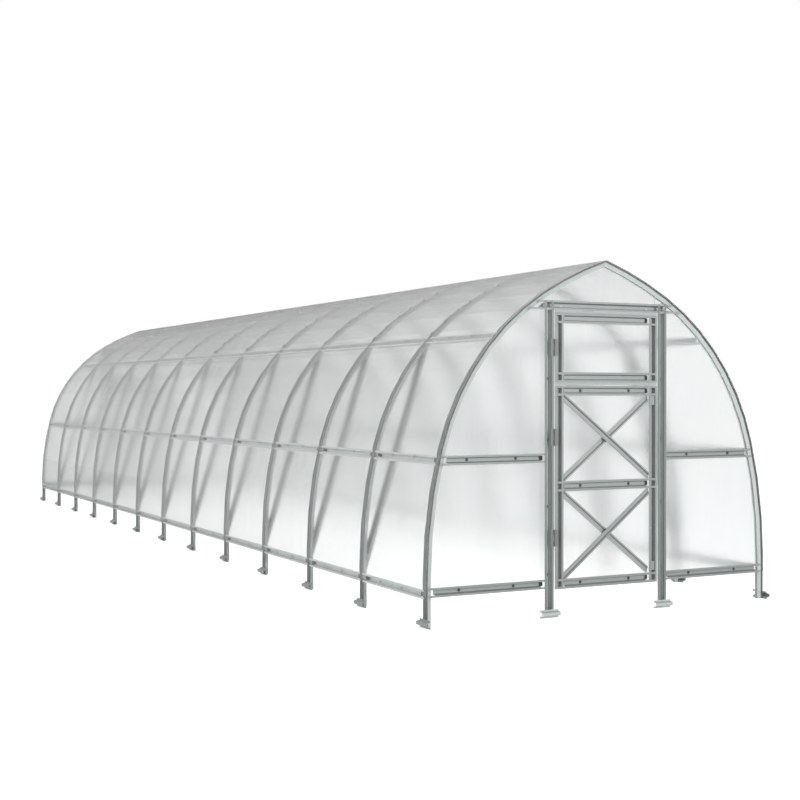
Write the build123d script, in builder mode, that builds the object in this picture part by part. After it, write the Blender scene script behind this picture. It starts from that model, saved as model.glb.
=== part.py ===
"""Tunnel greenhouse with pointed arches, hat-section steel frame and twin-wall cover sheets.

Millimetres, +Z up. The origin is on the ground under the middle of the house.
The front gable, with the door that opens, faces -Y and the length runs along Y.
"""

import os
from math import acos, cos, radians, sin

from build123d import *

# House
BAY = 1000  # from arch to arch
BAYS = 12
BAYS_PER_SHEET = 2

# Outer line of an arch, on the right side: a plumb leg and three tangent arcs up to the ridge
HALF_WIDTH = 1465
LEG_HEIGHT = 319
FLANK_RADIUS = 3432
HAUNCH_RADIUS = 1793
ROOF_RADIUS = 2814
FLANK_TURN = 15  # degrees of lean where the flank meets the haunch
HAUNCH_TURN = 59  # degrees of lean where the haunch meets the roof
FLANK_FACETS = 3
HAUNCH_FACETS = 7
ROOF_FACETS = 3

# Hat section of the frame: overall width, depth, lips, crown and steel
FRAME_WIDTH = 66
FRAME_DEPTH = 36
FRAME_LIP = 14
FRAME_CROWN = 26
STEEL = 1.2

# Hat section of the door and window leaves
LEAF_WIDTH = 72
LEAF_DEPTH = 30
LEAF_LIP = 16
LEAF_CROWN = 28
LEAF_NOTCH = 16  # from the lip of a stile to the crown of the rail that joins it

# Small hat section of the door braces
BRACE_WIDTH = 50
BRACE_DEPTH = 13
BRACE_LIP = 11
BRACE_CROWN = 20

# Sheets
SHEET = 6
SEAT = 0.3  # gap that leaves a flat piece on its seat
CURVE_SEAT = 0.5  # the same gap against a bent piece
SHEET_BOTTOM = 212
SHEET_GAP = 3  # between neighbouring sheets
LEAF_SHEET_GAP = 6  # between the door's sheet and the window's

# Heights of the middle of each rail
SIDE_BASE_RAIL_Z = 222
GABLE_BASE_RAIL_Z = 238
MID_RAIL_Z = 1125
UPPER_RAIL_Z = 1980
LINTEL_Z = 2203
NOTCH = 24  # from the lip of an arch or post to the crown of the rail that laps over it

# Struts between the foot of the arch and the upper rail, where their lips meet the arch
STRUT_FOOT_Z = 400
STRUT_HEAD_DROP = 110  # below the middle of the upper rail
TRIM = 150  # cut off each end of a strut or brace to fit it to its neighbours

# Feet
FOOT_LENGTH = 155
FOOT_WIDTH = 58
FOOT_LIP = 12
FOOT_CROWN = 22

# Gable posts and leaves
POST_X = 495
POST_WIDTH = 76
POST_LIP = 19
LEAF_SIDE_GAP = 10  # leaf to post
DOOR_BOTTOM = 196
DOOR_TOP = 1636
DOOR_MID_RAIL_Z = 922
WINDOW_BOTTOM = 1658
WINDOW_TOP = 2149

# Hinges
HINGE_HEIGHT = 120
HINGE_PLATE = 24
HINGE_STEEL = 2.5
HINGE_BARREL = 7  # radius
HINGE_PIN = 3.5  # radius
HINGE_PLAY = 0.4
KNUCKLE_GAP = 1.5
DOOR_HINGE_HEIGHTS = (560, 1270)
WINDOW_HINGE_Z = 1904

# Worked out from the sizes above
FRONT_Y = -BAY * BAYS / 2
SIDE_RAIL_LAP = SEAT + STEEL  # how far the side rails' lips stand out from the arch line
COVER_INNER = SIDE_RAIL_LAP + CURVE_SEAT  # the same for the faces of the cover
COVER_OUTER = COVER_INNER + SHEET
LIP_EDGE = FRAME_WIDTH / 2 - FRAME_LIP + STEEL  # from an arch's middle to a lapped lip's end
CROWN_END = FRAME_WIDTH / 2 + NOTCH
POST_LIP_EDGE = POST_WIDTH / 2 - POST_LIP + STEEL
POST_CROWN_END = POST_WIDTH / 2 + NOTCH
RAIL_FACE = -FRAME_WIDTH / 2  # front of the gable rails' seat, measured from the arch's middle plane
RAIL_FRONT = RAIL_FACE - STEEL
POST_FRONT = RAIL_FRONT - STEEL
GABLE_SHEET_Y = RAIL_FRONT + FRAME_DEPTH + SEAT
LEAF_HALF_WIDTH = POST_X - POST_WIDTH / 2 - LEAF_SIDE_GAP
STILE_X = LEAF_HALF_WIDTH - LEAF_WIDTH / 2
LEAF_SHEET_Y = POST_FRONT + LEAF_DEPTH + SEAT
HINGE_X = -LEAF_HALF_WIDTH - LEAF_SIDE_GAP / 2
HINGE_Y = POST_FRONT - HINGE_BARREL


def next_arc(arc, turn, radius):
    """The arc that carries on smoothly from another at a lean in degrees."""
    centre_x, centre_z, last_radius = arc
    change = last_radius - radius
    return (
        centre_x + change * cos(radians(turn)),
        centre_z + change * sin(radians(turn)),
        radius,
    )


FLANK_ARC = (HALF_WIDTH - FLANK_RADIUS, LEG_HEIGHT, FLANK_RADIUS)  # centre x, centre z, radius
HAUNCH_ARC = next_arc(FLANK_ARC, FLANK_TURN, HAUNCH_RADIUS)
ROOF_ARC = next_arc(HAUNCH_ARC, HAUNCH_TURN, ROOF_RADIUS)
ARCS = (FLANK_ARC, HAUNCH_ARC, ROOF_ARC)


def arc_point(arc, turn, offset):
    """A point of one arc of the right side, at a lean in radians and an offset inwards."""
    centre_x, centre_z, radius = arc
    return (centre_x + (radius - offset) * cos(turn), centre_z + (radius - offset) * sin(turn))


def side_points(offset, bottom):
    """The right side's line at an offset inwards, from its bottom up to the ridge."""
    ridge_turn = acos(-ROOF_ARC[0] / (ROOF_ARC[2] - offset))
    turns = (0, radians(FLANK_TURN), radians(HAUNCH_TURN), ridge_turn)
    points = [(HALF_WIDTH - offset, bottom)]
    for arc, first, last, facets in zip(
        ARCS, turns, turns[1:], (FLANK_FACETS, HAUNCH_FACETS, ROOF_FACETS)
    ):
        for step in range(facets):
            points.append(arc_point(arc, first + (last - first) * step / facets, offset))
    points.append((0, arc_point(ROOF_ARC, ridge_turn, offset)[1]))
    return points


def whole_line(offset, bottom):
    """The arch line at an offset inwards, from the left foot over the ridge to the right foot."""
    right = side_points(offset, bottom)
    left = [(-x, z) for x, z in right]
    return left + right[-2::-1]


def wall_point(z, offset):
    """The point of the right side's line at a height, at an offset inwards."""
    line = side_points(offset, 0)
    for (low_x, low_z), (high_x, high_z) in zip(line, line[1:]):
        if z <= high_z:
            share = (z - low_z) / (high_z - low_z)
            return Vector(low_x + (high_x - low_x) * share, 0, z)
    return Vector(0, 0, line[-1][1])


def hat_outline(width, depth, lip, crown):
    """The outline of a hat section: lips along the first axis, crown at the far end of the second."""
    half = width / 2
    with BuildLine() as outline:
        Polyline(
            (half, 0),
            (half - lip, 0),
            (crown / 2 - STEEL, depth - STEEL),
            (STEEL - crown / 2, depth - STEEL),
            (lip - half, 0),
            (-half, 0),
            (-half, STEEL),
            (lip - half - STEEL, STEEL),
            (-crown / 2, depth),
            (crown / 2, depth),
            (half - lip + STEEL, STEEL),
            (half, STEEL),
            close=True,
        )
    make_face(outline.edges())


def frame_outline():
    hat_outline(FRAME_WIDTH, FRAME_DEPTH, FRAME_LIP, FRAME_CROWN)


def two_lips(width, lip):
    """The two lips of a hat section alone."""
    shift = (width - lip) / 2
    with Locations((-shift, STEEL / 2), (shift, STEEL / 2)):
        Rectangle(lip, STEEL)


def frame_lips():
    two_lips(FRAME_WIDTH, FRAME_LIP)


def post_lips():
    two_lips(POST_WIDTH, POST_LIP)


def leaf_lips():
    two_lips(LEAF_WIDTH, LEAF_LIP)


def post_outline():
    hat_outline(POST_WIDTH, FRAME_DEPTH, POST_LIP, FRAME_CROWN)


def leaf_outline():
    hat_outline(LEAF_WIDTH, LEAF_DEPTH, LEAF_LIP, LEAF_CROWN)


def foot_outline():
    hat_outline(FOOT_WIDTH, LEAF_DEPTH, FOOT_LIP, FOOT_CROWN)


def brace_outline():
    hat_outline(BRACE_WIDTH, BRACE_DEPTH, BRACE_LIP, BRACE_CROWN)


def inside_of(offset, bottom, start, length):
    """The space inside the arch line at an offset, as a solid along Y, to trim pieces with."""
    with BuildPart() as space:
        with BuildSketch(Plane.XZ.offset(-start)):
            with BuildLine():
                Polyline(*whole_line(offset, bottom), close=True)
            make_face()
        extrude(amount=-length)
    return space.part


def keep(part, name):
    """Label a finished piece and write its file."""
    part.label = name
    export_step(part, f"parts/{name}.step")


os.makedirs("parts", exist_ok=True)
arch_ys = [FRONT_Y + BAY * number for number in range(BAYS + 1)]

# Arches: a hat section bent over the house, its open side out
with BuildPart() as arch:
    with BuildLine(Plane.XZ) as arch_path:
        Polyline(*whole_line(0, 0))
    with BuildSketch(Plane((-HALF_WIDTH, 0, 0), x_dir=(0, -1, 0), z_dir=(0, 0, 1))):
        frame_outline()
    sweep(path=arch_path.line, transition=Transition.RIGHT)

for number, arch_y in enumerate(arch_ys, start=1):
    with BuildPart() as placed_arch:
        with Locations((0, arch_y, 0)):
            add(arch.part)
    keep(placed_arch.part, f"arch_{number:02d}")

# Feet: short bars of the leaf section across the foot of every leg
with BuildPart() as arch_feet:
    for arch_y in arch_ys:
        with BuildSketch(
            Plane(
                (HALF_WIDTH, arch_y - FOOT_LENGTH / 2, FOOT_WIDTH / 2),
                x_dir=(0, 0, 1),
                z_dir=(0, 1, 0),
            )
        ):
            foot_outline()
        extrude(amount=FOOT_LENGTH)
    mirror(about=Plane.YZ)
keep(arch_feet.part, "arch_feet")

# Cover sheets, laid over the arches from one base rail over the ridge to the other
sheet_edges = [FRONT_Y + BAY * BAYS_PER_SHEET * number for number in range(BAYS // BAYS_PER_SHEET + 1)]
sheet_edges[0] -= (FRAME_WIDTH - SHEET_GAP) / 2
sheet_edges[-1] += (FRAME_WIDTH - SHEET_GAP) / 2
for number, (near_edge, far_edge) in enumerate(zip(sheet_edges, sheet_edges[1:]), start=1):
    with BuildPart() as cover:
        with BuildSketch(Plane.XZ.offset(-near_edge - SHEET_GAP / 2)):
            with BuildLine():
                outer = whole_line(-COVER_OUTER, SHEET_BOTTOM)
                inner = whole_line(-COVER_INNER, SHEET_BOTTOM)
                Polyline(*outer, *reversed(inner), close=True)
            make_face()
        extrude(amount=near_edge - far_edge + SHEET_GAP)
    keep(cover.part, f"cover_sheet_{number}")

# Side rails, one in every bay: open side out, their lips lapped over the arches and crown cut short
for name, height in (
    ("base_rails", SIDE_BASE_RAIL_Z),
    ("mid_rails", MID_RAIL_Z),
    ("upper_rails", UPPER_RAIL_Z),
):
    low = wall_point(height - FRAME_WIDTH / 2, -SIDE_RAIL_LAP)
    high = wall_point(height + FRAME_WIDTH / 2, -SIDE_RAIL_LAP)
    with BuildPart() as rails:
        for arch_y in arch_ys[:-1]:
            for setback, outline in ((LIP_EDGE, frame_lips), (CROWN_END, frame_outline)):
                start = (low + high) / 2 + Vector(0, arch_y + setback, 0)
                with BuildSketch(Plane(start, x_dir=low - high, z_dir=(0, 1, 0))):
                    outline()
                extrude(amount=BAY - 2 * setback)
        mirror(about=Plane.YZ)
    keep(rails.part, name)

# Struts, a straight bar inside every middle arch from its foot to the upper rail
strut_seat = FRAME_DEPTH + SEAT
strut_foot = wall_point(STRUT_FOOT_Z, strut_seat)
strut_head = wall_point(UPPER_RAIL_Z - STRUT_HEAD_DROP, strut_seat)
strut_run = (strut_head - strut_foot).normalized()
strut_start = strut_foot - strut_run * TRIM
strut_length = (strut_head - strut_foot).length + 2 * TRIM
with BuildPart() as strut:
    with BuildSketch(Plane(strut_start, x_dir=(0, 1, 0), z_dir=strut_run)):
        frame_outline()
    extrude(amount=strut_length)
    add(inside_of(strut_seat, 0, -FRAME_WIDTH, 2 * FRAME_WIDTH), mode=Mode.INTERSECT)
with BuildPart() as struts:
    for arch_y in arch_ys[1:-1]:
        with Locations((0, arch_y, 0)):
            add(strut.part)
    mirror(about=Plane.YZ)
keep(struts.part, "struts")


# Gable, drawn for the front and repeated at the rear
def gable_rails():
    """Lintel across the gable, and the base and mid rails beside the posts."""
    with BuildPart() as trim:
        add(inside_of(FRAME_DEPTH + NOTCH, 0, RAIL_FACE, FRAME_DEPTH * 2))
        add(inside_of(FRAME_DEPTH / 2, 0, RAIL_FRONT, STEEL))
    with BuildPart() as rails:
        for height in (GABLE_BASE_RAIL_Z, MID_RAIL_Z):
            for setback, outline in ((POST_LIP_EDGE, frame_lips), (POST_CROWN_END, frame_outline)):
                start = (POST_X + setback, RAIL_FRONT, height)
                with BuildSketch(Plane(start, x_dir=(0, 0, -1), z_dir=(1, 0, 0))):
                    outline()
                extrude(amount=HALF_WIDTH)
        mirror(about=Plane.YZ)
        with BuildSketch(
            Plane((-HALF_WIDTH, RAIL_FRONT, LINTEL_Z), x_dir=(0, 0, -1), z_dir=(1, 0, 0))
        ):
            frame_outline()
        extrude(amount=2 * HALF_WIDTH)
        add(trim.part, mode=Mode.INTERSECT)
    return rails.part


def gable_posts():
    """The two posts beside the door, their lips lapped over the lintel."""
    with BuildPart() as posts:
        for length, outline in (
            (LINTEL_Z - FRAME_WIDTH / 2 - SEAT, post_outline),
            (LINTEL_Z + FRAME_WIDTH / 2, post_lips),
        ):
            with BuildSketch(Plane((POST_X, POST_FRONT, 0), x_dir=(1, 0, 0), z_dir=(0, 0, 1))):
                outline()
            extrude(amount=length)
        mirror(about=Plane.YZ)
    return posts.part


def post_feet():
    """A short bar across the front of each post's foot."""
    with BuildPart() as feet:
        with BuildSketch(
            Plane(
                (POST_X - FOOT_LENGTH / 2, POST_FRONT, FOOT_WIDTH / 2),
                x_dir=(0, 0, 1),
                z_dir=(1, 0, 0),
            )
        ):
            foot_outline()
        extrude(amount=FOOT_LENGTH)
        mirror(about=Plane.YZ)
    return feet.part


def gable_sheets():
    """A sheet beside each post and one over the lintel."""
    space = inside_of(FRAME_DEPTH + CURVE_SEAT, SHEET_BOTTOM, GABLE_SHEET_Y, SHEET)
    middle = POST_X - POST_WIDTH / 2
    with BuildPart() as sheets:
        with BuildSketch(Plane.XZ.offset(-GABLE_SHEET_Y)):
            for side in (-1, 1):
                with Locations((side * (middle + SHEET_GAP / 2), SHEET_BOTTOM)):
                    Rectangle(
                        HALF_WIDTH * 2,
                        HALF_WIDTH * 2,
                        align=(Align.MAX if side < 0 else Align.MIN, Align.MIN),
                    )
            with Locations((0, LINTEL_Z)):
                Rectangle(2 * middle - SHEET_GAP, HALF_WIDTH, align=(Align.CENTER, Align.MIN))
        extrude(amount=-SHEET)
        add(space, mode=Mode.INTERSECT)
    return sheets.part


def leaf_frame(bottom, top, cross_rails):
    """A leaf's welded frame: two stiles, the end rails and any rails between."""
    end = LEAF_WIDTH / 2
    with BuildPart() as frame:
        for side in (-1, 1):
            with BuildSketch(
                Plane((side * STILE_X, POST_FRONT, bottom), x_dir=(1, 0, 0), z_dir=(0, 0, 1))
            ):
                leaf_outline()
            extrude(amount=top - bottom)
        crown_reach = STILE_X - LEAF_WIDTH / 2 - LEAF_NOTCH
        for height in (bottom + end, *cross_rails, top - end):
            for reach, outline in ((LEAF_HALF_WIDTH, leaf_lips), (crown_reach, leaf_outline)):
                start = (-reach, POST_FRONT, height)
                with BuildSketch(Plane(start, x_dir=(0, 0, -1), z_dir=(1, 0, 0))):
                    outline()
                extrude(amount=2 * reach)
    return frame.part


def leaf_sheet(bottom, top):
    """The sheet behind a leaf's frame."""
    with BuildPart() as sheet:
        with BuildSketch(Plane.XZ.offset(-LEAF_SHEET_Y)):
            with Locations((0, bottom)):
                Rectangle(2 * LEAF_HALF_WIDTH, top - bottom, align=(Align.CENTER, Align.MIN))
        extrude(amount=-SHEET)
    return sheet.part


def door_braces():
    """A cross of two bars in each panel of the door, one bar in front of the other."""
    half_span = STILE_X - LEAF_WIDTH / 2 + LEAF_LIP
    panels = (
        (DOOR_BOTTOM + LEAF_WIDTH, DOOR_MID_RAIL_Z - LEAF_WIDTH / 2, 1),
        (DOOR_MID_RAIL_Z + LEAF_WIDTH / 2, DOOR_TOP - LEAF_WIDTH, -1),
    )
    with BuildPart() as panes:
        for low, high, _ in panels:
            with Locations((0, POST_FRONT, low)):
                Box(
                    2 * (STILE_X - LEAF_WIDTH / 2),
                    LEAF_DEPTH,
                    high - low,
                    align=(Align.CENTER, Align.MIN, Align.MIN),
                )
    with BuildPart() as braces:
        for low, high, lean in panels:
            middle = (low + high) / 2
            for layer, side in ((0, lean), (1, -lean)):
                front = POST_FRONT + layer * (BRACE_DEPTH + SEAT)
                run = Vector(half_span, 0, side * (high - low) / 2)
                reach = run.length + TRIM
                start = Vector(0, front, middle) - run.normalized() * reach
                with BuildSketch(
                    Plane(start, x_dir=Vector(0, 1, 0).cross(run), z_dir=run), mode=Mode.PRIVATE
                ) as section:
                    brace_outline()
                extrude(section.sketch, amount=2 * reach)
        add(panes.part, mode=Mode.INTERSECT)
    return braces.part


def hinge_half(height, on_leaf):
    """One half of a butt hinge: a plate, and the knuckles on its side of the pin."""
    third = HINGE_HEIGHT / 3
    side = 1 if on_leaf else -1
    spans = ((-third / 2, third),) if on_leaf else ((-3 * third / 2, third), (third / 2, third))
    with BuildPart() as half:
        for low, length in spans:
            bottom = height + low + KNUCKLE_GAP / 2
            with BuildSketch(Plane.XY.offset(bottom)):
                with Locations((HINGE_X, HINGE_Y)):
                    Circle(HINGE_BARREL)
                with Locations((HINGE_X, POST_FRONT - HINGE_STEEL / 2)):
                    Rectangle(
                        HINGE_PLATE,
                        HINGE_STEEL,
                        align=(Align.MIN if on_leaf else Align.MAX, Align.CENTER),
                    )
                if on_leaf:
                    with Locations((HINGE_X, HINGE_Y)):
                        Circle(HINGE_PIN + HINGE_PLAY, mode=Mode.SUBTRACT)
            extrude(amount=length - KNUCKLE_GAP)
        plate_start = HINGE_X + side * (HINGE_BARREL + HINGE_PLAY)
        with BuildSketch(Plane.XY.offset(height - HINGE_HEIGHT / 2 + KNUCKLE_GAP / 2)):
            with Locations((plate_start, POST_FRONT - HINGE_STEEL / 2)):
                Rectangle(
                    HINGE_PLATE,
                    HINGE_STEEL,
                    align=(Align.MIN if on_leaf else Align.MAX, Align.CENTER),
                )
        extrude(amount=HINGE_HEIGHT - KNUCKLE_GAP)
        if not on_leaf:
            with BuildSketch(Plane.XY.offset(height - HINGE_HEIGHT / 2 + KNUCKLE_GAP)):
                with Locations((HINGE_X, HINGE_Y)):
                    Circle(HINGE_PIN)
            extrude(amount=HINGE_HEIGHT - 2 * KNUCKLE_GAP)
    return half.part


window_sheet_bottom = (DOOR_TOP + WINDOW_BOTTOM + LEAF_SHEET_GAP) / 2
gable_pieces = {
    "gable_rails": gable_rails(),
    "gable_posts": gable_posts(),
    "gable_sheets": gable_sheets(),
    "window_frame": leaf_frame(WINDOW_BOTTOM, WINDOW_TOP, ()),
    "window_sheet": leaf_sheet(window_sheet_bottom, LINTEL_Z - FRAME_WIDTH / 2),
    "door_frame": leaf_frame(DOOR_BOTTOM, DOOR_TOP, (DOOR_MID_RAIL_Z,)),
    "door_sheet": leaf_sheet(DOOR_BOTTOM, window_sheet_bottom - LEAF_SHEET_GAP),
    "door_braces": door_braces(),
}
front_end = Location((0, FRONT_Y, 0))
rear_end = Location((0, -FRONT_Y, 0), (0, 0, 180))
for end, place in (("front", front_end), ("rear", rear_end)):
    for name, piece in gable_pieces.items():
        with BuildPart() as placed:
            with Locations(place):
                add(piece)
        keep(placed.part, f"{end}_{name}")

feet_of_gable = post_feet()
with BuildPart() as all_post_feet:
    with Locations(front_end, rear_end):
        add(feet_of_gable)
keep(all_post_feet.part, "post_feet")

# Hinges: a half on the leaf and a half on the post for every hinge
with BuildPart() as front_window_hinge:
    with Locations(front_end):
        add(hinge_half(WINDOW_HINGE_Z, True))
        add(hinge_half(WINDOW_HINGE_Z, False))
keep(front_window_hinge.part, "front_window_hinge")

for name, on_leaf in (("front_door_hinge_leaves", True), ("front_door_hinge_posts", False)):
    with BuildPart() as front_door_hinges:
        with Locations(front_end):
            for hinge_z in DOOR_HINGE_HEIGHTS:
                add(hinge_half(hinge_z, on_leaf))
    keep(front_door_hinges.part, name)

with BuildPart() as rear_hinges:
    with Locations(rear_end):
        for hinge_z in (*DOOR_HINGE_HEIGHTS, WINDOW_HINGE_Z):
            add(hinge_half(hinge_z, True))
            add(hinge_half(hinge_z, False))
keep(rear_hinges.part, "rear_hinges")
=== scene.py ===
"""Dresses the tunnel greenhouse: steel frame, twin-wall sheets, fastenings, studio and camera.

Metres, +Z up. The gable whose door opens faces -Y.
"""

from math import pi, radians

import bpy
from mathutils import Matrix, Vector


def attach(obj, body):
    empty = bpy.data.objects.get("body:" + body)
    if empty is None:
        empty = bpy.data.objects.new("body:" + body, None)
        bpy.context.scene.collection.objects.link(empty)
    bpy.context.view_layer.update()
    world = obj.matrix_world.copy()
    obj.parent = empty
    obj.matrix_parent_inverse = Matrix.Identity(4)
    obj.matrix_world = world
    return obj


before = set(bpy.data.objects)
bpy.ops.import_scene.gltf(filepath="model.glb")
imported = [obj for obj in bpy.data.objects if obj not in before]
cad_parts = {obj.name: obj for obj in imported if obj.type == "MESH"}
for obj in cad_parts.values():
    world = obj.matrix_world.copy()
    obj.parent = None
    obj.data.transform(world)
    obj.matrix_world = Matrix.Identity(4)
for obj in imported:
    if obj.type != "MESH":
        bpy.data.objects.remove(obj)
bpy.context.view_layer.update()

GREENHOUSE = "greenhouse"
DOOR = "front_door"

BAY = 1.0  # from one arch to the next
BAYS = 12
FRONT = -BAY * BAYS / 2


class Socket:
    """An output of a node. Arithmetic on it adds Math nodes."""

    def __init__(self, graph, link):
        self.graph = graph
        self.link = link

    def math(self, operation, *values):
        return self.graph.node("ShaderNodeMath", {"operation": operation}, dict(enumerate(values)))

    def __add__(self, other):
        return self.math("ADD", self, other)

    __radd__ = __add__

    def __mul__(self, other):
        return self.math("MULTIPLY", self, other)

    __rmul__ = __mul__

    def __sub__(self, other):
        return self.math("SUBTRACT", self, other)

    def __rsub__(self, other):
        return self.math("SUBTRACT", other, self)

    def __pow__(self, other):
        return self.math("POWER", self, other)

    def __rpow__(self, other):
        return self.math("POWER", other, self)


class Graph:
    """The nodes of a material or a world."""

    def __init__(self, owner):
        owner.use_nodes = True
        self.tree = owner.node_tree
        self.tree.nodes.clear()

    def node(self, kind, settings=None, inputs=None, output=0):
        made = self.tree.nodes.new(kind)
        for name, value in (settings or {}).items():
            setattr(made, name, value)
        for name, value in (inputs or {}).items():
            if isinstance(value, Socket):
                self.tree.links.new(value.link, made.inputs[name])
            else:
                made.inputs[name].default_value = value
        return Socket(self, made.outputs[output] if made.outputs else None)


def material(name):
    made = bpy.data.materials.new(name)
    return made, Graph(made)


def shade(colour, factor):
    return (*(min(1.0, channel * factor) for channel in colour), 1)


def mix_colour(graph, factor, first, second):
    """Mixes two colours, which are a Mix node's inputs 6 and 7 and its output 2."""
    return graph.node("ShaderNodeMix", {"data_type": "RGBA"}, {0: factor, 6: first, 7: second}, output=2)


def mottled(graph, grain, colour, darkest, lightest):
    """A colour between two shades of itself, as the grain says."""
    return mix_colour(graph, grain, shade(colour, darkest), shade(colour, lightest))


def stretched_noise(graph, place, stretch, scale, detail):
    """Noise drawn out along an axis by a small stretch on it."""
    mapped = graph.node("ShaderNodeMapping", inputs={"Vector": place, "Scale": stretch})
    return graph.node(
        "ShaderNodeTexNoise",
        inputs={"Vector": mapped, "Scale": scale, "Detail": detail, "Roughness": 0.6},
    )


# Galvanised steel

GABLE_LIP = 6.026  # the lips of the gable frames lie beyond this distance along Y
GABLE_LIP_EDGE = 250.0  # how sharply the painted lip shade turns to the painted hollow light there
ARCH_LIP = 0.0185  # the lips of an arch lie beyond this distance from its middle
ARCH_LIP_EDGE = 1000.0
STEEL_SHADES = (0.86, 1.12)


def gable_lip_shade_mask(along):
    """Above 0 on the lips of the gable frames, below it in their hollows: the mask of the painted shade
    on the lips and the painted light in the hollows.
    """
    return (along.math("ABSOLUTE", along) - GABLE_LIP) * GABLE_LIP_EDGE


def arch_lip_shade_mask(along):
    """Above 0 on the lips of every arch, below it in their hollows: the mask of the painted shade on the
    lips and the painted light in the hollows.
    """
    return (along.math("PINGPONG", along, BAY / 2) - ARCH_LIP) * ARCH_LIP_EDGE


def galvanised_steel(name, colour, painted_hollow_light=None, metallic=0.25, spangle_scale=90.0, lips=gable_lip_shade_mask):
    """Zinc-coated sheet steel: faint spangle, dull bloom. Given a second colour, the hollows behind the
    lips take it as painted light and the lips keep the darker first colour as painted shade.
    """
    made, graph = material(name)
    place = graph.node("ShaderNodeTexCoord", output="Object")
    spangle = graph.node(
        "ShaderNodeTexVoronoi",
        {"feature": "F1"},
        {"Vector": place, "Scale": spangle_scale, "Randomness": 1.0},
        output="Color",
    )
    fleck = graph.node("ShaderNodeSeparateColor", inputs={"Color": spangle})
    bloom = stretched_noise(graph, place, (1, 1, 1), scale=7.0, detail=4.0)
    grain = fleck * 0.35 + bloom * 0.65
    base = mottled(graph, grain, colour, *STEEL_SHADES)
    # Painted light: the lighter colour in the hollows; painted shade: the darker colour left on the lips
    if painted_hollow_light:
        inner = mottled(graph, grain, painted_hollow_light, *STEEL_SHADES)
        along = graph.node("ShaderNodeSeparateXYZ", inputs={"Vector": place}, output="Y")
        base = mix_colour(graph, lips(along), inner, base)
    shader = graph.node(
        "ShaderNodeBsdfPrincipled",
        inputs={
            "Base Color": base,
            "Metallic": metallic,
            "Roughness": 0.42 + fleck * 0.08 + bloom * 0.12,
        },
    )
    graph.node("ShaderNodeOutputMaterial", inputs={"Surface": shader})
    return made


# Twin-wall sheet, matt plastic, and the black of painted shadow

ALONG_X = 0
ALONG_Y = 1
FLUTE = 0.006  # from one flute to the next
FLUTE_SHARE = 0.25  # of the flutes in the ribs; the rest is streaks
STREAK_SCALE = 48.0
STREAK_STRETCH = 0.05  # along the flutes
STREAK_CONTRAST = 2.2
RIB_DEPTH = 0.001
SHEET_IOR = 1.2
MILK = (0.86, 0.875, 0.87)
CLOUD = 0.042  # share of milk in a sheet
WEBS = (0.125, 0.131, 0.13)  # the walls between the flutes, which show at a slant
WEB_POWER = 7.0  # how far a sheet has to turn away before they show


def twin_wall(name, across, blur, relief):
    """Twin-wall sheet whose flutes lie side by side along one axis, given as its index."""
    made, graph = material(name)
    place = graph.node("ShaderNodeTexCoord", output="Object")
    axis = graph.node("ShaderNodeSeparateXYZ", inputs={"Vector": place}, output=across)
    stretch = [STREAK_STRETCH] * 3
    stretch[across] = 1.0
    streak = stretched_noise(graph, place, tuple(stretch), STREAK_SCALE, detail=2.0)
    flute = axis.math("SINE", axis * (2 * pi / FLUTE)) * 0.5 + 0.5
    sharp_streak = (streak - 0.5) * STREAK_CONTRAST + 0.5
    ribs = flute * FLUTE_SHARE + sharp_streak * (1 - FLUTE_SHARE)
    facing = graph.node("ShaderNodeLayerWeight", inputs={"Blend": 0.5}, output="Facing")
    tint = mix_colour(graph, ribs, (0.92, 0.94, 0.94, 1), (1.0, 1.0, 1.0, 1))
    bump = graph.node(
        "ShaderNodeBump",
        inputs={"Strength": relief, "Distance": RIB_DEPTH, "Height": ribs},
    )
    clear = graph.node(
        "ShaderNodeBsdfPrincipled",
        inputs={
            "Base Color": tint,
            "Roughness": blur,
            "IOR": SHEET_IOR,
            "Transmission Weight": 1.0,
            "Normal": bump,
        },
    )
    milk, web = (
        graph.node(
            "ShaderNodeBsdfPrincipled",
            inputs={
                "Base Color": mottled(graph, ribs, colour, 0.95, 1.05),
                "Roughness": 0.5,
                "Specular IOR Level": 0.1,
                "Normal": bump,
            },
        )
        for colour in (MILK, WEBS)
    )
    face = graph.node("ShaderNodeMixShader", inputs={0: CLOUD, 1: clear, 2: milk})
    surface = graph.node("ShaderNodeMixShader", inputs={0: facing**WEB_POWER, 1: face, 2: web})
    graph.node("ShaderNodeOutputMaterial", inputs={"Surface": surface})
    return made


def matt_grained(name, colour):
    """Matt rubber or plastic with a fine grain; also the near black that paints shadow on the notch
    blocks.
    """
    made, graph = material(name)
    place = graph.node("ShaderNodeTexCoord", output="Object")
    grain = stretched_noise(graph, place, (1, 1, 1), scale=260.0, detail=3.0)
    bump = graph.node("ShaderNodeBump", inputs={"Strength": 0.2, "Distance": 0.0005, "Height": grain})
    shader = graph.node(
        "ShaderNodeBsdfPrincipled",
        inputs={
            "Base Color": mottled(graph, grain, colour, 0.8, 1.2),
            "Roughness": 0.6 + grain * 0.3,
            "Normal": bump,
        },
    )
    graph.node("ShaderNodeOutputMaterial", inputs={"Surface": shader})
    return made


# Finishes

# Arches: dark lips as painted shade, light hollows as painted light
arch_steel = galvanised_steel("arch_steel", (0.19, 0.205, 0.20), (0.40, 0.428, 0.417), lips=arch_lip_shade_mask)
foot_steel = galvanised_steel("foot_steel", (0.40, 0.43, 0.42))
# Side rails painted pale: painted light, as they look when lit through the milky cover
rail_steel_painted_light = galvanised_steel("rail_steel_painted_light", (0.78, 0.80, 0.795))
# Struts painted darker: painted shade, as they stand in the shade inside the cover
strut_steel_painted_shade = galvanised_steel("strut_steel_painted_shade", (0.32, 0.335, 0.33))
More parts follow.
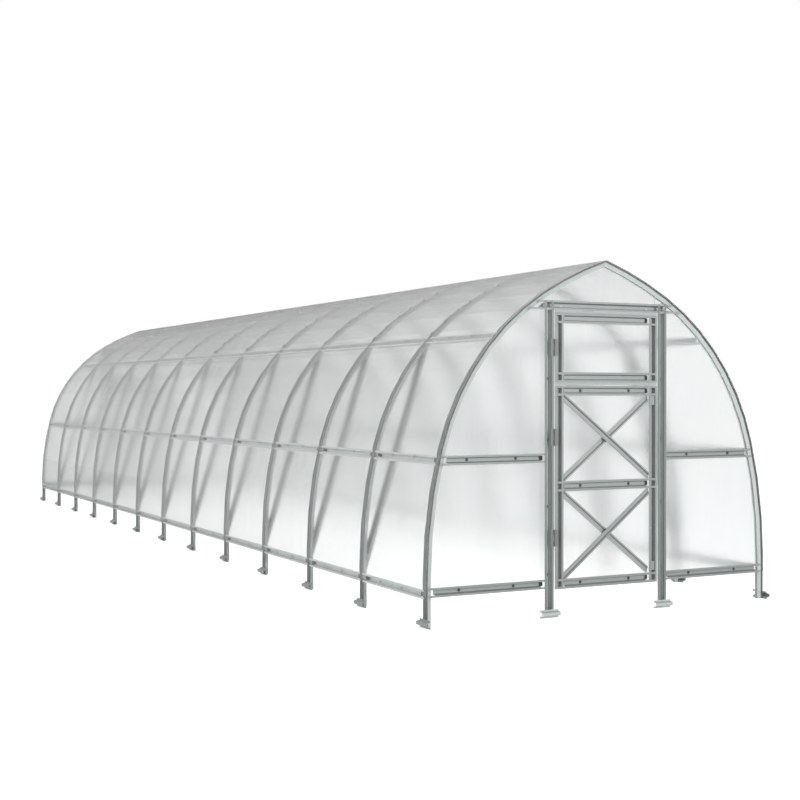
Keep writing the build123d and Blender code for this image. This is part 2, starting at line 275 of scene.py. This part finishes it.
# Posts, gable rails and door leaves: dark lips as painted shade, light hollows as painted light
post_steel = galvanised_steel("post_steel", (0.165, 0.182, 0.178), (0.43, 0.46, 0.45))
gable_rail_steel = galvanised_steel("gable_rail_steel", (0.235, 0.25, 0.247), (0.285, 0.305, 0.30))
leaf_steel = galvanised_steel("leaf_steel", (0.225, 0.24, 0.236), (0.28, 0.298, 0.293))
hinge_steel = galvanised_steel("hinge_steel", (0.15, 0.163, 0.158))
# Near black that paints the shadow seen in the notches at the rail ends
notch_shadow_black = matt_grained("notch_shadow_black", (0.03, 0.032, 0.032))
edge_plastic = matt_grained("edge_plastic", (0.33, 0.355, 0.36))
cover = twin_wall("cover_twin_wall", ALONG_Y, blur=0.17, relief=0.05)
pane = twin_wall("gable_twin_wall", ALONG_X, blur=0.3, relief=0.15)
screw_zinc = galvanised_steel("screw_zinc", (0.62, 0.64, 0.64), metallic=0.5, spangle_scale=400.0)
# Real bolts coloured near black: the black is painted shade round their heads
bolt_zinc_with_painted_shade = galvanised_steel("bolt_zinc_with_painted_shade", (0.08, 0.085, 0.084), metallic=0.4, spangle_scale=400.0)
washer_zinc = galvanised_steel("washer_zinc", (0.45, 0.46, 0.46), metallic=0.2, spangle_scale=400.0)
latch_zinc = galvanised_steel("latch_zinc", (0.22, 0.245, 0.24), metallic=0.3, spangle_scale=200.0)

for name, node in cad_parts.items():
    if "cover_sheet" in name:
        finish = cover
    elif "sheet" in name:
        finish = pane
    elif "hinge" in name:
        finish = hinge_steel
    elif "gable_rails" in name:
        finish = gable_rail_steel
    elif "gable" in name:
        finish = post_steel
    elif "door" in name or "window" in name:
        finish = leaf_steel
    elif name == "struts":
        finish = strut_steel_painted_shade
    elif name.endswith("_rails"):
        finish = rail_steel_painted_light
    elif name.endswith("_feet"):
        finish = foot_steel
    else:
        finish = arch_steel
    for slot in node.material_slots:
        slot.material = finish


# Modelling of the fastenings


def deselect():
    bpy.ops.object.select_all(action="DESELECT")


def select_faces(piece, wanted):
    """Leaves edit mode open on piece with only the wanted faces selected."""
    bpy.ops.object.mode_set(mode="EDIT")
    bpy.ops.mesh.select_mode(type="FACE")
    bpy.ops.mesh.select_all(action="DESELECT")
    bpy.ops.object.mode_set(mode="OBJECT")
    for face in piece.data.polygons:
        face.select = wanted(face)
    bpy.ops.object.mode_set(mode="EDIT")


def added_block(size, location):
    """A plain block of a size at a place, its size kept in its mesh."""
    deselect()
    bpy.ops.mesh.primitive_cube_add(size=1, location=location, scale=size)
    block = bpy.context.object
    bpy.ops.object.transform_apply(location=True, rotation=False, scale=True)
    return block


def domed_disc(radius, height, top_radius, sides, base=0.0):
    """A disc on +Z whose upper edge slopes in to top_radius."""
    deselect()
    bpy.ops.mesh.primitive_cylinder_add(
        vertices=sides, radius=radius, depth=height * 0.6, location=(0, 0, base + height * 0.3)
    )
    disc = bpy.context.object
    select_faces(disc, lambda face: face.normal.z > 0.9)
    bpy.ops.mesh.extrude_region_move(TRANSFORM_OT_translate={"value": (0, 0, height * 0.4)})
    shrink = top_radius / radius
    bpy.ops.transform.resize(value=(shrink, shrink, 1), center_override=(0, 0, base + height))
    bpy.ops.object.mode_set(mode="OBJECT")
    return disc


def joined(pieces):
    """Joins pieces in the first of them and leaves it active."""
    deselect()
    for piece in pieces:
        piece.select_set(True)
    bpy.context.view_layer.objects.active = pieces[0]
    if len(pieces) > 1:
        bpy.ops.object.join()
    return pieces[0]


def washer_screw():
    """Hex head on a wide sealing washer."""
    washer = domed_disc(radius=0.011, height=0.003, top_radius=0.009, sides=12)
    head = domed_disc(radius=0.0055, height=0.005, top_radius=0.0045, sides=6, base=0.003)
    return joined([washer, head])


def frame_bolt():
    """Round bolt head on a flat washer."""
    washer = domed_disc(radius=0.012, height=0.002, top_radius=0.0115, sides=12)
    head = domed_disc(radius=0.0085, height=0.006, top_radius=0.0055, sides=8, base=0.002)
    return joined([washer, head])


def cross_screw():
    """Pan-head screw with a cross cut in it."""
    head = domed_disc(radius=0.0065, height=0.004, top_radius=0.0045, sides=16)
    width, length, depth = 0.0016, 0.0076, 0.003
    for size in ((width, length, depth), (length, width, depth)):
        cut = added_block(size, (0, 0, 0.0042))
        deselect()
        head.select_set(True)
        bpy.context.view_layer.objects.active = head
        recess = head.modifiers.new("cross", "BOOLEAN")
        recess.operation = "DIFFERENCE"
        recess.object = cut
        bpy.ops.object.modifier_apply(modifier=recess.name)
        bpy.data.objects.remove(cut, do_unlink=True)
    return head


def rounded_block(length, width, height, rounding):
    """A block standing on Z 0 with its edges bevelled."""
    block = added_block((length, width, height), (0, 0, height / 2))
    bpy.ops.object.mode_set(mode="EDIT")
    bpy.ops.mesh.select_all(action="SELECT")
    bpy.ops.mesh.bevel(offset=rounding, segments=2, affect="EDGES")
    bpy.ops.object.mode_set(mode="OBJECT")
    return block


def screwed_plate(length, width, thickness=0.0025, rounding=0.0008):
    """A thin plate on Z 0 with two screw heads on it."""
    plate = rounded_block(length, width, thickness, rounding)
    heads = []
    for share in (-0.3, 0.3):
        head = domed_disc(radius=0.0045, height=0.0022, top_radius=0.003, sides=10, base=thickness)
        head.location.x += share * length
        heads.append(head)
    return joined([plate, *heads])


def edge_channel(length, width, depth, wall):
    """A U channel along X, open towards -Z, its back on top at Z 0."""
    channel = added_block((length, width, depth), (0, 0, -depth / 2))
    select_faces(channel, lambda face: face.normal.z < -0.9 or abs(face.normal.x) > 0.9)
    bpy.ops.mesh.delete(type="FACE")
    bpy.ops.object.mode_set(mode="OBJECT")
    skin = channel.modifiers.new("wall", "SOLIDIFY")
    skin.thickness = wall
    skin.offset = -1
    bpy.ops.object.modifier_apply(modifier=skin.name)
    return channel


# Placing of the fastenings

BEYOND_SIDE = 4.0  # outside the greenhouse, across it
BEYOND_GABLE = 8.0  # and along it
OUTWARD = {"front": -1, "rear": 1}  # the way each gable faces along Y


def seat(names, start, direction):
    """Where a line from start first meets one of the named nodes, with the surface's normal."""
    start = Vector(start)
    direction = Vector(direction)
    best = None
    for name in names:
        found, point, normal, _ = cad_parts[name].ray_cast(start, direction)
        if found and (best is None or (point - start).length < (best[0] - start).length):
            best = (point, normal if normal.dot(direction) < 0 else -normal)
    if best is None:
        raise ValueError(f"nothing of {names} lies in front of {start}")
    return best


def side_seats(names, places, heights):
    """Seats on both sides of the greenhouse, at every place along it and every height."""
    return [
        seat(names, (side * BEYOND_SIDE, along, height), (-side, 0, 0))
        for along in places
        for side in (-1, 1)
        for height in heights
    ]


def gable_seats(end, node, spots):
    """Seats on a node of one gable, at spots that say how far across and how high."""
    outward = OUTWARD[end]
    return [seat([f"{end}_{node}"], (x, outward * BEYOND_GABLE, z), (0, -outward, 0)) for x, z in spots]


def finished(name, piece, finish, body):
    """Names a piece, fixes its place in its mesh, gives it its material and its body."""
    piece.name = name
    piece.data.name = name
    deselect()
    piece.select_set(True)
    bpy.context.view_layer.objects.active = piece
    bpy.ops.object.transform_apply(location=True, rotation=True, scale=True)
    piece.data.materials.clear()
    piece.data.materials.append(finish)
    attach(piece, body)


def fasten(name, template, seats, finish, body, along=(1, 0, 0)):
    """Copies of a template on their seats, its X axis along a direction, joined in one piece."""
    copies = []
    for point, normal in seats:
        across = normal.cross(Vector(along)).normalized()
        axes = Matrix((across.cross(normal), across, normal)).transposed().to_4x4()
        copy = template.copy()
        copy.data = template.data.copy()
        bpy.context.collection.objects.link(copy)
        copy.matrix_world = Matrix.Translation(point) @ axes
        copies.append(copy)
    finished(name, joined(copies), finish, body)


templates = {
    "washer_screw": washer_screw(),
    "frame_bolt": frame_bolt(),
    "cross_screw": cross_screw(),
    # Blocks that carry the painted shadow in the notches at the rail ends
    "side_notch_shadow": rounded_block(length=0.034, width=0.030, height=0.020, rounding=0.002),
    "rail_notch_shadow": rounded_block(length=0.026, width=0.030, height=0.008, rounding=0.0015),
    "leaf_notch_shadow": rounded_block(length=0.018, width=0.030, height=0.008, rounding=0.0015),
    "latch_plate": screwed_plate(length=0.066, width=0.046),
    "latch_keeper": screwed_plate(length=0.066, width=0.015),
    "small_screw": domed_disc(radius=0.0045, height=0.0025, top_radius=0.003, sides=10),
}


# Fastenings and painted-shadow blocks on the sides

cover_sheets = [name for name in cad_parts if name.startswith("cover_sheet")]
RAIL_CROWNS = (0.2300, 1.1380, 1.9900)  # heights of the base, mid and upper rails
ROOF_HEIGHTS = (2.04, 2.14, 2.23, 2.30, 2.37, 2.43)
REAR_LIP = 0.026  # from the middle of an arch to its rear lip
NOTCH_SHADOW_INSET = 0.064  # from an arch to the middle of the painted-shadow block in a rail's end
NOTCH_SHADOW_HEIGHTS = (0.222, 1.125)

# Screws through the cover into the side rails, two a bay
places = [FRONT + (bay + share) * BAY for bay in range(BAYS) for share in (1 / 3, 2 / 3)]
seats = side_seats(cover_sheets, places, RAIL_CROWNS)
fasten("cover_screws", templates["washer_screw"], seats, washer_zinc, GREENHOUSE, along=(0, 1, 0))

# Screws through the cover into the rear lips of the inner arches, up the roof
places = [FRONT + arch * BAY + REAR_LIP for arch in range(1, BAYS)]
seats = side_seats(cover_sheets, places, ROOF_HEIGHTS)
fasten("roof_screws", templates["washer_screw"], seats, washer_zinc, GREENHOUSE, along=(0, 1, 0))

# Black blocks that paint the shadow in both ends of every base and mid rail
places = [FRONT + bay * BAY + inset for bay in range(BAYS) for inset in (NOTCH_SHADOW_INSET, BAY - NOTCH_SHADOW_INSET)]
seats = side_seats(("base_rails", "mid_rails"), places, NOTCH_SHADOW_HEIGHTS)
fasten("side_rail_notch_shadows", templates["side_notch_shadow"], seats, notch_shadow_black, GREENHOUSE, along=(0, 1, 0))


# Fastenings and painted-shadow blocks on the gables, each spot as (across, height)

POST_BOLTS = [(x, z) for x in (-0.495, 0.495) for z in (0.300, 0.780, 1.252, 1.685)]
RAIL_BOLTS = [
    (side * x, z)
    for side in (-1, 1)
    for x, z in ((1.143, 1.127), (0.751, 1.127), (1.205, 0.240), (0.770, 0.240))
]
LINTEL_SCREWS = [(-0.374, 2.196), (0.374, 2.196)]
DOOR_RAILS = (0.232, 0.922, 1.600)  # heights of the door's three rails
DOOR_BOLTS = [(x, z) for x in (-0.212, 0.212) for z in DOOR_RAILS]
STILE_SCREWS = [(0.411, 0.591)]
WINDOW_SCREWS = [(0.411, 1.897)]
# Where the painted-shadow blocks sit in the notches at the rail ends
RAIL_NOTCH_SHADOWS = [(x, z) for x in (-0.545, 0.545) for z in (0.238, 1.125)]
DOOR_NOTCH_SHADOWS = [(x, z) for x in (-0.367, 0.367) for z in DOOR_RAILS]
WINDOW_NOTCH_SHADOWS = [(x, z) for x in (-0.367, 0.367) for z in (1.694, 2.113)]
POST_HEADS = [(x, 2.205) for x in (-0.466, 0.466)]
LATCH_HEIGHTS = (0.317, 1.528)
LATCHES = [(0.383, z) for z in LATCH_HEIGHTS]
LATCH_SHIFT = 0.017  # from there to the middle of the plate, which laps over the door's edge
KEEPERS = [(0.4665, z) for z in LATCH_HEIGHTS]
HEAD_CHANNELS = {"window_head_channel": (2.1500, 2.1690), "door_head_channel": (1.6415, 1.6570)}
CHANNEL_LENGTH = 0.892
CHANNEL_FACE = 6.0335  # of a channel's back, along Y
CHANNEL_DEPTH = 0.016
CHANNEL_WALL = 0.001

for end, outward in OUTWARD.items():
    leaf_body = DOOR if end == "front" else GREENHOUSE
    for piece, node, spots, kind, finish, body in (
        ("gable_posts_bolts", "gable_posts", POST_BOLTS, "frame_bolt", bolt_zinc_with_painted_shade, GREENHOUSE),
        ("gable_rails_bolts", "gable_rails", RAIL_BOLTS, "frame_bolt", bolt_zinc_with_painted_shade, GREENHOUSE),
        ("lintel_screws", "gable_rails", LINTEL_SCREWS, "cross_screw", screw_zinc, GREENHOUSE),
        ("door_bolts", "door_frame", DOOR_BOLTS, "frame_bolt", bolt_zinc_with_painted_shade, leaf_body),
        ("stile_screws", "door_frame", STILE_SCREWS, "cross_screw", screw_zinc, leaf_body),
        ("window_screws", "window_frame", WINDOW_SCREWS, "cross_screw", screw_zinc, GREENHOUSE),
        # Near-black blocks painting the shadow in the notches of the rail ends
        ("gable_rail_notch_shadows", "gable_sheets", RAIL_NOTCH_SHADOWS, "rail_notch_shadow", notch_shadow_black, GREENHOUSE),
        ("door_notch_shadows", "door_sheet", DOOR_NOTCH_SHADOWS, "leaf_notch_shadow", notch_shadow_black, leaf_body),
        ("window_notch_shadows", "window_sheet", WINDOW_NOTCH_SHADOWS, "leaf_notch_shadow", notch_shadow_black, GREENHOUSE),
        ("post_head_screws", "gable_posts", POST_HEADS, "small_screw", bolt_zinc_with_painted_shade, GREENHOUSE),
    ):
        fasten(f"{end}_{piece}", templates[kind], gable_seats(end, node, spots), finish, body)

    # Latch plates on the door's free edge and their keepers on the post, long side upright
    for piece, node, spots, kind, shift, body in (
        ("latch_plates", "door_frame", LATCHES, "latch_plate", LATCH_SHIFT, leaf_body),
        ("latch_keepers", "gable_posts", KEEPERS, "latch_keeper", 0.0, GREENHOUSE),
    ):
        aside = Vector((shift, 0, 0))
        seats = [(point + aside, normal) for point, normal in gable_seats(end, node, spots)]
        fasten(f"{end}_{piece}", templates[kind], seats, latch_zinc, body, along=(0, 0, 1))

    # Pale plastic channels in the gaps above the window and the door
    for name, (bottom, top) in HEAD_CHANNELS.items():
        channel = edge_channel(CHANNEL_LENGTH, top - bottom, CHANNEL_DEPTH, CHANNEL_WALL)
        channel.rotation_euler = (-outward * pi / 2, 0, 0)
        channel.location = (0, outward * CHANNEL_FACE, (bottom + top) / 2)
        finished(f"{end}_{name}", channel, edge_plastic, GREENHOUSE)

for template in templates.values():
    bpy.data.objects.remove(template, do_unlink=True)


# Camera, at the photograph's viewing angle

camera_data = bpy.data.cameras.new("camera")
camera = bpy.data.objects.new("camera", camera_data)
bpy.context.collection.objects.link(camera)
camera_data.sensor_width = 36
camera_data.lens = 59.823
camera.location = (-5.674, -13.890, 1.576)
camera.rotation_euler = (radians(89.74), 0, radians(-26.99))
bpy.context.scene.camera = camera
bpy.context.scene.view_settings.view_transform = "Standard"


# Studio

FLOOR_SIZE = 160
FLOOR_TONE = (0.86, 0.86, 0.86, 1)
WHITE = (1, 1, 1, 1)
FLOOR_GLOW = 0.6  # as the camera sees it
FLOOR_GLOW_BEHIND = 0.24  # as it shows in steel and through the sheets
WORLD_LIGHT = 0.6
LAMP_TARGET = Vector((0, -3, 1))


def seen_rays(graph):
    """Whether a ray comes from the camera, off a glossy surface or through a sheet."""
    rays = ("Is Camera Ray", "Is Glossy Ray", "Is Transmission Ray")
    return [graph.node("ShaderNodeLightPath", output=ray) for ray in rays]


deselect()
bpy.ops.mesh.primitive_plane_add(size=FLOOR_SIZE, location=(0, 0, 0))
floor = bpy.context.object
floor.name = "studio_floor"
floor_material, graph = material("studio_floor")
direct, glossy, through = seen_rays(graph)
matt = graph.node("ShaderNodeBsdfDiffuse", inputs={"Color": FLOOR_TONE})
strength = direct * FLOOR_GLOW + (glossy + through) * FLOOR_GLOW_BEHIND
glow = graph.node("ShaderNodeEmission", inputs={"Color": WHITE, "Strength": strength})
both = graph.node("ShaderNodeAddShader", inputs={0: matt, 1: glow})
graph.node("ShaderNodeOutputMaterial", inputs={"Surface": both})
floor.data.materials.append(floor_material)

# The world lights the object evenly and is plain white where it is seen
world = bpy.data.worlds.new("studio")
bpy.context.scene.world = world
graph = Graph(world)
direct, glossy, through = seen_rays(graph)
seen = direct.math("MAXIMUM", direct.math("MAXIMUM", direct, glossy), through)
light = graph.node("ShaderNodeBackground", inputs={"Color": WHITE, "Strength": WORLD_LIGHT})
backdrop = graph.node("ShaderNodeBackground", inputs={"Color": WHITE, "Strength": 1.0})
sky = graph.node("ShaderNodeMixShader", inputs={0: seen, 1: light, 2: backdrop})
graph.node("ShaderNodeOutputWorld", inputs={"Surface": sky})

for name, place, size, power in (
    ("key_lamp", (4, -22, 5), 7, 2000),
    ("fill_lamp", (-14, -10, 9), 8, 300),
):
    data = bpy.data.lights.new(name, "AREA")
    data.shape = "SQUARE"
    data.size = size
    data.energy = power
    lamp = bpy.data.objects.new(name, data)
    bpy.context.collection.objects.link(lamp)
    lamp.location = place
    lamp.rotation_euler = (LAMP_TARGET - Vector(place)).to_track_quat("-Z", "Y").to_euler()
